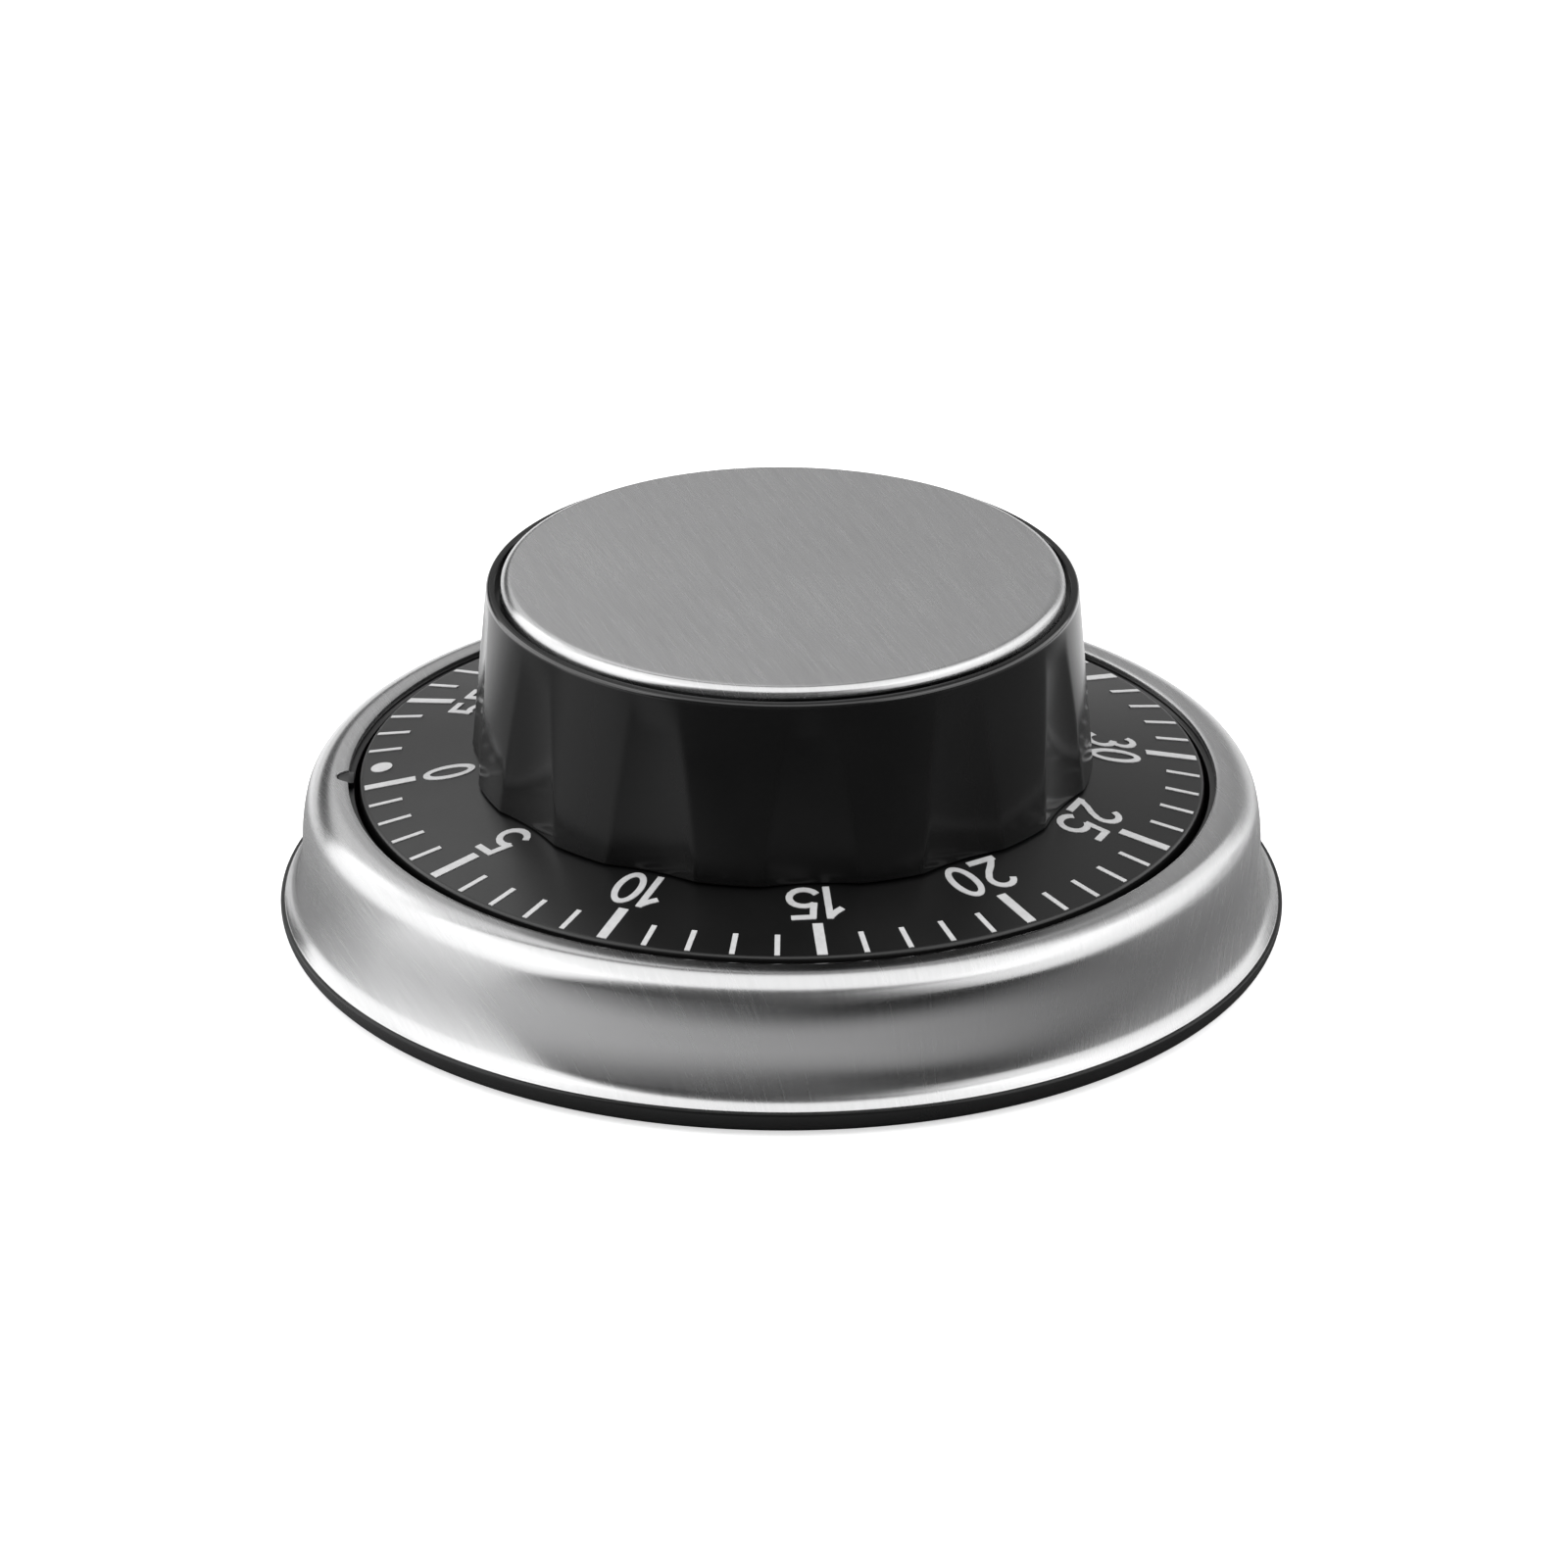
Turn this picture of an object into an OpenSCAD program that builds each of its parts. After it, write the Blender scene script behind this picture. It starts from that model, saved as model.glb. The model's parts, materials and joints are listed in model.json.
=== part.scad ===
// Wind-up kitchen timer, one hour, spun-steel stand and fluted knob.
// Millimetres, +Z up. The origin is the bottom centre, on the surface the timer stands on.
// The index pointer is on the -X side. Minutes count counter-clockwise seen from above.

/* [Case] */
// Widest diameter, over the black base rim
case_d = 80; // [79.8:0.1:80.6]
// Height of the bezel's flat top above the table
bezel_top = 12.2; // [12.1:0.1:12.4]
// Inner diameter of the bezel, round the dial
bezel_bore_d = 68.9; // [68.7:0.1:69.1]
// Thickness of the bezel's steel sheet
sheet_t = 0.6; // [0.5:0.05:0.7]

/* [Dial] */
// Diameter of the dial
dial_d = 67.1; // [67:0.1:67.3]
// Fall of the dial towards its edge, in degrees
dial_slope = 9.8; // [9:0.1:10]
// Diameter of the circle on which the minute marks end
marks_d = 66.4; // [66:0.1:66.5]
// Length of a one-minute mark
tick_len = 2.65; // [2:0.05:3]
// Width of a one-minute mark
tick_w = 0.42; // [0.3:0.01:0.6]
// Length of a five-minute mark
bar_len = 4.05; // [3.5:0.05:4.3]
// Width of a five-minute mark
bar_w = 0.82; // [0.6:0.01:1]
// Diameter of the dot that marks the bell position
dot_d = 1.7; // [1.4:0.1:2]
// Height of the numerals
digit_h = 4.15; // [3.8:0.05:4.15]
// Width of a numeral's stroke
digit_stroke = 0.54; // [0.4:0.02:0.6]

/* [Knob] */
// Diameter of the knob at its rim
knob_top_d = 46.8; // [46.6:0.1:47]
// Diameter over the crests at the knob's foot
knob_foot_d = 49.4; // [49.2:0.1:49.6]
// Height of the knob's rim above the table
knob_top = 28.72; // [28.6:0.01:28.8]
// Number of flutes
flutes = 12; // [8:1:16]
// Depth of a flute at the knob's foot
flute_depth = 0.63; // [0.3:0.01:0.8]
// Diameter of the steel cap
cap_d = 44.6; // [44.4:0.1:44.8]
// Height of the cap's face above the table
cap_top = 29.54; // [29.4:0.01:29.6]

/* [Movement] */
// Teeth on the main wheel
main_teeth = 60; // [60:1:60]
// Teeth on the second wheel
second_teeth = 56; // [56:1:56]
// Teeth on the third wheel
third_teeth = 48; // [48:1:48]
// Teeth on the escape wheel
escape_teeth = 15; // [12:1:18]
// Teeth on the alarm's star wheel
star_teeth = 8; // [6:1:10]
// Turns of the mainspring
spring_turns = 9; // [6:1:10]

/* [Hidden] */
$fn = 96;
cut = 1;                                  // how far a cutting tool runs past a face

// Base
foot_h = 0.2;                             // the rubber ring stands this far below the rim
rim_top = 2.05;                           // top of the visible base rim
floor_top = 2.4;
floor_low = 0.6;
foot_seat = 1.0;                          // ceiling of the rubber ring's groove
foot_r = [31.3, 37.6];                    // the groove's inner and outer radius
wall_r = [35.0, 36.6];                    // the upright wall inside the bezel
wall_top = 9.8;
case_r = case_d / 2;
rim_round_r = 1.8;                        // rounding of the base rim's side
rim_wide_z = 1.85;                        // the height at which the base is widest
rim_turn = 50;                            // degrees through which the side is rounded
rim_low_r = 38.9;                         // radius of the rim's lower edge
post_boss_r = 3.2;                        // bosses on the floor, under the movement
pocket = [2.4, 1.9];                      // radius and ceiling of a base screw's pocket
rib_angles = [30:60:330];                 // ribs that centre the bezel
rib_w = 3;
rib_out = 0.5;
rib_top = 8.3;

// Bezel's outer line: flat top, rolled shoulder, soft curve, straight wall, soft curve, flared foot
shoulder_r = 2.5;
shoulder_c = [35.4, bezel_top - shoulder_r];
soft_r = 14;
wall_lean = 2;                            // degrees from upright
soft_start = 12;
straight_low = bezel_top - 5.6;
flare_soft_r = 13;
flare_turn = 17;                          // the soft flare ends and a tighter one begins
flare_r = 1.8;
flare_end = 52;
flare_end_in = 40;
lip_r = case_r - 0.32;
lip_h = 0.12;
lip_bevel = [0.1, 0.07];
bore_r = bezel_bore_d / 2;
ring_r = [33.95, 36.4];                   // the black index ring under the bezel's top
ring_bevel = [1.0, 0.7];
// The pointer, outwards from the bezel's bore: distance past the bore and half width
pointer = [[-0.5, 1.06], [0, 1.04], [0.34, 0.8], [0.57, 0.58], [0.74, 0.32], [0.82, 0.08]];
pointer_sunk = 0.12;
pointer_play = 0.08;

// Dial
dial_r = dial_d / 2;
marks_r = marks_d / 2;
dial_t = 1.2;
cone_in = 23.7;                           // the cone starts here, under the knob's foot
seat_z = 13.75;                           // flat seat that the knob's bosses stand on
seat_low = 12.5;
seat_in = 19.2;
dial_edge = [0.1, 0.28];                  // bevel on the dial's rim
mark_t = 0.06;                            // printed marks stand this proud
past_zero = 4.2;                          // at rest the dial has run this far past zero
zero_at = 180 + past_zero;                // azimuth of the zero mark
minute = 6;                               // degrees
function cone_z(r) = bezel_top + (marks_r - r) * tan(dial_slope);

// Knob
knob_low = 13.88;
flute_r = 22;                             // radius of the scoop that cuts a flute
flute_fade = 27;                          // the flutes run out at this height
rim_round = 0.35;
recess_r = 22.7;
recess_z = 27.6;
deck_low = 25.9;
boss_low = 23.0;
boss_r = 4.6;
seat_boss_r = 1.5;
knob_in = [22.3, 21.5];                   // inner radius at the foot and under the deck
screw_ring = 20.9;                        // radius on which the dial screws sit
dial_screw_angles = [60, 180, 300];
dial_screw_len = 5;
cap_round = 0.85;
cap_wall = 0.5;
cap_t = 0.7;

// Movement: plates and their posts
low_plate = [3.2, 4.0];
top_plate = [10.2, 11.0];
plate_r = [29.0, 28.6];                   // lower and upper plate
post_ring = 26.6;
post_angles = [62, 130, 230, 298];
post_r = 1.75;
tap_r = 0.95;                             // tapped bore in a post
shank_r = 0.9;
hole_r = 1.1;                             // clearance hole for a screw
base_head_r = 2.1;                        // radius of a base screw's head
stem_slot = [-2.5, 3.9, 2];               // start, length and width of the hammer stem's slot
screw_slot_w = 0.5;
pivot_r = 0.5;
pivot_play = 0.05;
shoulder_gap = 0.08;                      // end play of an arbor

// Gears: a wheel drives a pinion, and teeth are straight-flanked with some backlash
main_m = 0.5;
second_m = 0.4;
third_m = 0.35;
main_leaves = 10;
second_leaves = 8;
third_leaves = 8;
wheel_shape = [0.9, 1.0, 0.48, 0.20, 0.62];   // addendum, dedendum, then widths at pitch, tip, root
pinion_shape = [0.6, 1.2, 0.42, 0.18, 0.50];
wheel_t = 0.6;
main_wheel_z = 4.4;
main_wheel_t = 0.8;
second_wheel_z = 5.8;
third_wheel_z = 7.0;
escape_wheel_z = 8.4;
star_wheel_z = 8.2;
cam_z = 7.2;
lever_t = 0.8;
arbor_r = 0.8;

// Where the arbors stand
function polar(r, a) = r * [cos(a), sin(a)];
function bearing(p) = atan2(p.y, p.x);
main_c = main_m * (main_teeth + main_leaves) / 2;
second_c = second_m * (second_teeth + second_leaves) / 2;
third_c = third_m * (third_teeth + third_leaves) / 2;
third_ring = 19;
escape_ring = 20;
function apex(a, b, c) = acos((a * a + b * b - c * c) / (2 * a * b));
third_angle = apex(main_c, third_ring, second_c);
escape_angle = third_angle + apex(third_ring, escape_ring, third_c);
second_at = polar(main_c, 0);
third_at = polar(third_ring, third_angle);
alarm_at = polar(third_ring, -third_angle);
escape_at = polar(escape_ring, escape_angle);
pallet_at = polar(escape_ring, escape_angle + 21.9);

// A pinion's tooth angle that meshes with a wheel n1 whose tooth is at t1, along the line of centres
function mesh_angle(line, t1, n1, n2) = line + 180 + (line - t1) * n1 / n2 + 180 / n2;
line_third = bearing(third_at - second_at);
line_alarm = bearing(alarm_at - second_at);
line_escape = bearing(escape_at - third_at);
second_pinion_t = mesh_angle(0, 0, main_teeth, main_leaves);
third_pinion_t = mesh_angle(line_third, line_third, second_teeth, second_leaves);
alarm_pinion_t = mesh_angle(line_alarm, line_third, second_teeth, second_leaves);
escape_pinion_t = mesh_angle(line_escape, line_escape, third_teeth, third_leaves);

// Main arbor and mainspring
main_r = 2.0;
main_play = 0.05;
main_hub_r = 3.6;
arbor_flat = 1.5;                         // distance from the axis to the flat
arbor_top = 27.0;
knob_tap_r = 0.85;
knob_tap_z = 21.5;
low_pivot_r = 1.2;
cup_r = 12.0;
cup_wall = 0.6;
cup_floor = 0.5;
cup_z = [11.0, 16.6];
spring_z = [11.7, 15.9];
spring_t = 0.28;
hub_r = 2.9;
cover_t = 0.6;
bush_r = [2.4, 4.6, 3.6];                 // bore, shoulder and thread of the bell's bush
bell_r = 18.4;
bell_t = 0.8;
bell_z = [13.6, 21.4];
bell_round = 4;
nut_h = 1.2;
nut_r = 5.4;
cam_r = 8.0;

// Alarm levers
hammer_at = [0, -22.5];
head_from_pivot = [-8.5, 9.3];
head_r = 1.5;
star_r = 4.2;
tail_len = 13.1;
trip_at = [-17.5, 10.5];
nose_at = [-8.15, 0];                      // just clear of the cam's rim
trip_end = [-12, -12.5];
stud_r = 0.9;
leaf_post_r = 0.8;
leaf_h = 0.6;
leaf_t = 0.25;
trip_pin_r = 0.4;
stem_r = 0.6;

// Escapement
escape_r = 4.5;
pin_r = 0.25;
pin_ring = 5.2;                           // the pins stand clear of the escape wheel's tips
pin_spread = 40;
weight_at = [-7.2, 21.4];

// ---------- shared shapes ----------

function arc(c, r, a0, a1, n = 8) = [for (i = [0:n]) c + polar(r, a0 + (a1 - a0) * i / n)];
function rest(v) = [for (i = [1:len(v) - 1]) v[i]];
function reversed(v) = [for (i = [len(v) - 1:-1:0]) v[i]];

module lathe(points) rotate_extrude($fn = 144) polygon(points);

module drum(r, z0, z1) translate([0, 0, z0]) cylinder(r = r, h = z1 - z0);

module sleeve(r_out, r_in, z0, z1) difference() {
    drum(r_out, z0, z1);
    drum(r_in, z0 - cut, z1 + cut);
}

module slab(z0, z1) translate([0, 0, z0]) linear_extrude(z1 - z0) children();

module at(p) translate([p.x, p.y, 0]) children();

module around(radius, angles) for (a = angles) at(polar(radius, a)) children();

// A flat bar from a hub at p to a round end at q
module link(p, q, w) {
    d = q - p;
    at(p) rotate(bearing(d)) translate([0, -w / 2]) square([norm(d), w]);
    at(q) circle(d = w);
}

// Slotted pan-head screw, its head's underside at z = 0 and its shank pointing down
module screw(head_r, head_h, r, length) {
    difference() {
        drum(head_r, 0, head_h);
        translate([-head_r - cut, -screw_slot_w / 2, head_h / 2])
            cube([2 * (head_r + cut), screw_slot_w, head_h]);
    }
    drum(r, -length, 0);
}

// ---------- gears ----------

function tooth_points(r_pitch, m, s, pitch, at_angle) = [
    polar(r_pitch - s[1] * m, at_angle - s[4] * pitch / 2),
    polar(r_pitch, at_angle - s[2] * pitch / 2),
    polar(r_pitch + s[0] * m, at_angle - s[3] * pitch / 2),
    polar(r_pitch + s[0] * m, at_angle + s[3] * pitch / 2),
    polar(r_pitch, at_angle + s[2] * pitch / 2),
    polar(r_pitch - s[1] * m, at_angle + s[4] * pitch / 2)];

module gear_shape(n, m, shape, tooth_at) {
    pitch = 360 / n;
    polygon([for (i = [0:n - 1])
        each tooth_points(m * n / 2, m, shape, pitch, tooth_at + i * pitch)]);
}

module wheel(n, m, tooth_at, z0, t, bore, windows) {
    r_mid = m * n / 2 * 0.58;
    slab(z0, z0 + t) difference() {
        gear_shape(n, m, wheel_shape, tooth_at);
        circle(r = bore);
        around(r_mid, [for (i = [0:windows - 1]) i * 360 / windows]) circle(r = m * n / 2 * 0.22);
    }
}

// Arbor of a small wheel: pivots, shaft, pinion and the collar that the wheel sits on
module arbor(n, m, tooth_at, pinion_z, collar_z, wheel_z) {
    drum(pivot_r, low_plate[0], low_plate[1] + shoulder_gap);
    drum(arbor_r, low_plate[1] + shoulder_gap, top_plate[0] - shoulder_gap);
    drum(pivot_r, top_plate[0] - shoulder_gap, top_plate[1]);
    slab(pinion_z[0], pinion_z[1]) gear_shape(n, m, pinion_shape, tooth_at);
    drum(arbor_r + 0.6, collar_z, wheel_z);
}

// ---------- fixed: case ----------

soft_c = shoulder_c + polar(shoulder_r, soft_start) - polar(soft_r, soft_start);
soft_low = soft_c + polar(soft_r, wall_lean);
flare_top = [soft_low.x + (soft_low.y - straight_low) * tan(wall_lean), straight_low];
flare_soft_c = flare_top + polar(flare_soft_r, wall_lean);
flare_mid = flare_soft_c - polar(flare_soft_r, flare_turn);
flare_c = flare_mid + polar(flare_r, flare_turn);

// The bezel's line, moved inwards by t along its normal, down to where it flares by the angle end
function bezel_line(t, end) = concat(
    [[bore_r, bezel_top - t]],
    arc(shoulder_c, shoulder_r - t, 90, soft_start, 12),
    rest(arc(soft_c, soft_r - t, soft_start, wall_lean, 5)),
    arc(flare_soft_c, flare_soft_r + t, wall_lean + 180, flare_turn + 180, 6),
    rest(arc(flare_c, flare_r + t, flare_turn + 180, end + 180, 8)));

module index_tongue(grow) polygon(concat(
    [for (p = pointer) -[bore_r + p.x + grow, p.y + grow]],
    reversed([for (p = pointer) [-bore_r - p.x - grow, p.y + grow]])));

module bezel() color("silver") difference() {
    lathe(concat(
        bezel_line(0, flare_end),
        [[lip_r - lip_bevel.x, rim_top + lip_h], [lip_r, rim_top + lip_h - lip_bevel.y],
         [lip_r, rim_top], [flare_c.x - (flare_r + sheet_t) * cos(flare_end_in), rim_top]],
        reversed(bezel_line(sheet_t, flare_end_in))));
    slab(bezel_top - 2 * sheet_t, bezel_top + cut) index_tongue(pointer_play);
}

module index_ring() color("#101010") {
    top = bezel_top - sheet_t - 0.02;
    lathe([[ring_r[0], wall_top], [ring_r[1], wall_top], [ring_r[1], top - ring_bevel.y],
           [ring_r[1] - ring_bevel.x, top], [ring_r[0], top]]);
    slab(top - 0.2, bezel_top - pointer_sunk) intersection() {
        index_tongue(0);
        difference() {
            circle(r = ring_r[1]);
            circle(r = ring_r[0]);
        }
    }
}

module base_housing() color("#1c1c1d") difference() {
    union() {
        lathe(concat(
            [[0, floor_low], [foot_r[0], floor_low], [foot_r[0], foot_seat],
             [foot_r[1], foot_seat], [foot_r[1], foot_h], [rim_low_r, foot_h]],
            arc([case_r - rim_round_r, rim_wide_z], rim_round_r, -rim_turn, 0, 6),
            [[case_r - 0.1, rim_top], [wall_r[1], rim_top], [wall_r[1], wall_top],
             [wall_r[0], wall_top], [wall_r[0], floor_top], [0, floor_top]]));
        around(post_ring, post_angles) drum(post_boss_r, floor_top - 0.1, low_plate[0]);
        for (a = rib_angles) rotate(a) translate([wall_r[1] - 0.2, -rib_w / 2, rim_top])
            cube([rib_out + 0.2, rib_w, rib_top - rim_top]);
    }
    around(post_ring, post_angles) {
        drum(hole_r, floor_low - cut, low_plate[0] + cut);
        drum(pocket[0], floor_low - cut, pocket[1]);
    }
}

module foot_ring() color("#262626")
    lathe([[foot_r[0] + 0.1, 0.15], [foot_r[0] + 0.25, 0], [foot_r[1] - 0.25, 0],
           [foot_r[1] - 0.1, 0.15], [foot_r[1] - 0.1, foot_seat], [foot_r[0] + 0.1, foot_seat]]);

// ---------- fixed: movement frame ----------

pivots_at = [second_at, third_at, alarm_at, escape_at, pallet_at];

module plate(r, z, main_hole) difference() {
    drum(r, z[0], z[1]);
    drum(main_hole, z[0] - cut, z[1] + cut);
    for (p = pivots_at) at(p) drum(pivot_r + pivot_play, z[0] - cut, z[1] + cut);
    around(post_ring, post_angles) drum(hole_r, z[0] - cut, z[1] + cut);
}

module lower_plate() color("goldenrod") plate(plate_r[0], low_plate, low_pivot_r + main_play);

module upper_plate() color("goldenrod") difference() {
    plate(plate_r[1], top_plate, main_r + main_play);
    // Slot for the hammer's stem
    at(hammer_at + head_from_pivot) rotate(bearing(head_from_pivot) + 90)
        slab(top_plate[0] - cut, top_plate[1] + cut)
            translate([stem_slot[0], -stem_slot[2] / 2]) square([stem_slot[1], stem_slot[2]]);
}

module plate_pillars() color("gold") around(post_ring, post_angles) difference() {
    drum(post_r, low_plate[1], top_plate[0]);
    drum(tap_r, low_plate[1] - cut, top_plate[0] + cut);
}

module plate_screws() color("silver") around(post_ring, post_angles)
    translate([0, 0, top_plate[1]]) screw(1.8, 0.6, shank_r, 2.6);

module base_screws() color("silver") around(post_ring, post_angles)
    translate([0, 0, pocket[1]]) rotate([180, 0, 0]) screw(base_head_r, 1.0, shank_r, 4.6);

module spring_cup() color("lightsteelblue") {
    sleeve(cup_r, cup_r - cup_wall, cup_z[0], cup_z[1]);
    sleeve(cup_r, hub_r + 0.5, cup_z[0], cup_z[0] + cup_floor);
}

// Flat spiral, its outer end against the cup and its inner end round the hub
spring_steps = spring_turns * 24;
spring_r = [hub_r + 0.15, cup_r - cup_wall - 0.05 - spring_t];
function coil(i, out) =
    polar(spring_r[0] + (spring_r[1] - spring_r[0]) * i / spring_steps + out, i * 360 / 24);

module mainspring() color("steelblue") slab(spring_z[0], spring_z[1]) polygon(concat(
    [for (i = [0:spring_steps]) coil(i, 0)],
    [for (i = [spring_steps:-1:0]) coil(i, spring_t)]));

module spring_cover() color("lightsteelblue") {
    z = cup_z[1];
    seat = bell_z[1] - bell_t;
    sleeve(cup_r, bush_r[0], z, z + cover_t);
    sleeve(bush_r[1], bush_r[0], z, seat);
    sleeve(bush_r[2], bush_r[0], seat - 0.1, bell_z[1] + nut_h);
}

module bell() color("gainsboro") {
    top = [bell_r - bell_round, bell_z[1] - bell_round];
    lathe(concat(
        [[bush_r[2] + 0.05, bell_z[1]]],
        arc(top, bell_round, 90, 0, 8),
        [[bell_r, bell_z[0]], [bell_r - bell_t, bell_z[0]]],
        arc(top, bell_round - bell_t, 0, 90, 8),
        [[bush_r[2] + 0.05, bell_z[1] - bell_t]]));
}

module bell_nut() color("gold") difference() {
    translate([0, 0, bell_z[1]]) cylinder(r = nut_r, h = nut_h, $fn = 6);
    drum(bush_r[2] + 0.05, bell_z[1] - cut, bell_z[1] + nut_h + cut);
}

// Shouldered studs carry the two levers, each kept down by a clip
stud_seats = [[hammer_at, star_wheel_z], [trip_at, cam_z]];

module lever_studs() color("silver") for (s = stud_seats) at(s[0]) {
    drum(stud_r + 0.5, low_plate[1], s[1] - shoulder_gap);
    drum(stud_r, low_plate[1], top_plate[0]);
}

module lever_clips() color("dimgray") for (s = stud_seats)
    at(s[0]) sleeve(stud_r + 0.6, stud_r, s[1] + lever_t + shoulder_gap, s[1] + lever_t + 0.4);

// A leaf spring on its own post, which stands or hangs between z0 and z1
module leaf(post, tip, z, z0, z1) {
    at(post) drum(leaf_post_r, z0, z1);
    slab(z, z + leaf_h) link(post, tip, leaf_t);
}

module hammer_spring() color("steelblue")
    leaf([4, -13], [-2.6, -16.5], star_wheel_z + 0.1, star_wheel_z + 0.1, top_plate[0]);

module trip_spring() color("steelblue")
    leaf([-22, -1.5], [-17.3, 1.6], cam_z + 0.1, low_plate[1], cam_z + 0.7);

// ---------- turning: knob, cap and dial ----------

module knob() color("#0c0c0d") {
    foot = knob_foot_d / 2;
    top = knob_top_d / 2;
    floor_r = foot - flute_depth;
    lean = atan((floor_r - top) / (flute_fade - knob_low));
    difference() {
        union() {
            difference() {
                lathe(concat(
                    [[foot, knob_low]],
                    arc([top - rim_round, knob_top - rim_round], rim_round, 5, 90, 6),
                    [[recess_r, knob_top], [recess_r, recess_z], [0, recess_z], [0, deck_low],
                     [knob_in[1], deck_low], [knob_in[0], knob_low]]));
                for (i = [0:flutes - 1]) rotate(zero_at + i * 360 / flutes)
                    translate([floor_r, 0, knob_low]) rotate([0, -lean, 0])
                        translate([flute_r, 0, -cut]) cylinder(r = flute_r, h = 16, $fn = 180);
            }
            drum(boss_r, boss_low, deck_low + 0.1);
            around(screw_ring, dial_screw_angles) drum(seat_boss_r, seat_z, deck_low + 0.1);
        }
        // Bore with a flat for the arbor, then the screw's hole
        slab(boss_low - cut, arbor_top + 0.1) arbor_section(main_play);
        drum(hole_r, arbor_top, recess_z + cut);
        around(screw_ring, dial_screw_angles) drum(tap_r, seat_z - cut, seat_z + dial_screw_len);
    }
}

// Steel cap, a shallow pressed pan
module cap() color("silver") {
    r = cap_d / 2;
    lathe(concat(
        [[0, cap_top], [r - cap_round, cap_top]],
        arc([r - cap_round, cap_top - cap_round], cap_round, 75, 0, 5),
        [[r, recess_z], [r - cap_wall, recess_z], [r - cap_wall, cap_top - cap_t],
         [0, cap_top - cap_t]]));
}

module dial() color("#1a1a1b") difference() {
    lathe([[seat_in, seat_low], [seat_in, seat_z], [cone_in - 0.05, seat_z],
           [cone_in, cone_z(cone_in)], [marks_r, cone_z(marks_r)],
           [dial_r - dial_edge.x, bezel_top - dial_edge.x], [dial_r, bezel_top - dial_edge.y],
           [dial_r, bezel_top - dial_t],
           [marks_r, cone_z(marks_r) - dial_t], [cone_in, cone_z(cone_in) - dial_t],
           [cone_in - 0.2, seat_low]]);
    around(screw_ring, dial_screw_angles) drum(hole_r, seat_low - cut, seat_z + cut);
}

// What is printed on the cone: flat artwork taken straight up into a thin conical layer
module on_cone(r_low) intersection() {
    lathe([[r_low, cone_z(r_low)], [marks_r, cone_z(marks_r)],
           [marks_r, cone_z(marks_r) + mark_t], [r_low, cone_z(r_low) + mark_t]]);
    slab(bezel_top - cut, seat_z + cut) children();
}

dot_minute = 59;

module dial_ticks() color("white") on_cone(marks_r - bar_len - 0.5) {
    for (m = [0:58]) rotate(zero_at + m * minute) {
        w = m % 5 == 0 ? bar_w : tick_w;
        l = m % 5 == 0 ? bar_len : tick_len;
        translate([marks_r - l, -w / 2]) square([l + 0.3, w]);
    }
    at(polar(marks_r - 1.36, zero_at + dot_minute * minute)) circle(d = dot_d);
}

// Numerals, drawn as strokes in a box digit_h high; each runs up the page
function unit(v) = v / norm(v);
function side(v) = [-v.y, v.x];
function tangent(p, i) = unit(p[min(i + 1, len(p) - 1)] - p[max(i - 1, 0)]);

module stroke(p) {
    h = digit_stroke / 2;
    polygon(concat(
        [for (i = [0:len(p) - 1]) p[i] + h * side(tangent(p, i))],
        [for (i = [len(p) - 1:-1:0]) p[i] - h * side(tangent(p, i))]));
}

function oval(c, rx, ry, a0, a1, n = 10) =
    [for (i = [0:n]) let (a = a0 + (a1 - a0) * i / n) c + [rx * cos(a), ry * sin(a)]];

half = digit_stroke / 2;
top_line = digit_h - half;
digit_w = [2.35, 1.35, 2.6, 2.5, 2.7, 2.6];

module digit_0() difference() {
    polygon(oval([digit_w[0] / 2, digit_h / 2], digit_w[0] / 2, digit_h / 2, 0, 350, 35));
    polygon(oval([digit_w[0] / 2, digit_h / 2], digit_w[0] / 2 - digit_stroke,
                 digit_h / 2 - digit_stroke, 0, 350, 35));
}

module digit_1() {
    translate([digit_w[1] - digit_stroke, 0]) square([digit_stroke, digit_h]);
    stroke([[0.05, digit_h * 0.68], [0.6, digit_h * 0.8], [digit_w[1] - 0.2, digit_h - 0.12]]);
}

module digit_2() {
    stroke(concat(
        oval([1.22, top_line - 0.98], 0.95, 0.98, 165, -25, 10),
        [[1.6, digit_h * 0.43], [0.9, digit_h * 0.26], [0.3, half]]));
    translate([0.05, 0]) square([digit_w[2] - 0.1, digit_stroke]);
}

module digit_3() {
    stroke(oval([1.15, top_line - 0.88], 0.85, 0.88, 150, -80, 10));
    stroke(oval([1.12, half + 1.02], 1.08, 1.02, 85, -155, 12));
}

module digit_4() {
    translate([1.7, 0]) square([digit_stroke, digit_h]);
    translate([0, digit_h * 0.22]) square([digit_w[4], digit_stroke]);
    stroke([[0.2, digit_h * 0.24], [1, digit_h * 0.6], [1.85, digit_h - 0.1]]);
}

module digit_5() {
    translate([0.5, digit_h - digit_stroke]) square([digit_w[5] - 0.7, digit_stroke]);
    stroke([[0.72, digit_h - 0.1], [0.6, digit_h * 0.72], [0.46, digit_h * 0.49]]);
    stroke(oval([1.2, half + 1.08], 1.13, 1.08, 132, -155, 14));
}

module digit(n) {
    if (n == 0) digit_0();
    if (n == 1) digit_1();
    if (n == 2) digit_2();
    if (n == 3) digit_3();
    if (n == 4) digit_4();
    if (n == 5) digit_5();
}

// A number centred on its mark, its top towards the dial's edge
module number(n) {
    gap = 0.35;
    tens = floor(n / 10);
    ones = n % 10;
    total = n < 10 ? digit_w[ones] : digit_w[tens] + gap + digit_w[ones];
    translate([-total / 2, 0]) {
        if (n >= 10) digit(tens);
        translate([total - digit_w[ones], 0]) digit(ones);
    }
}

digit_foot_r = 24.4;

module dial_numerals() color("white") on_cone(digit_foot_r - 0.3)
    for (n = [0:5:55]) rotate(zero_at + n * minute - 90)
        translate([0, digit_foot_r]) number(n);

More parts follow.
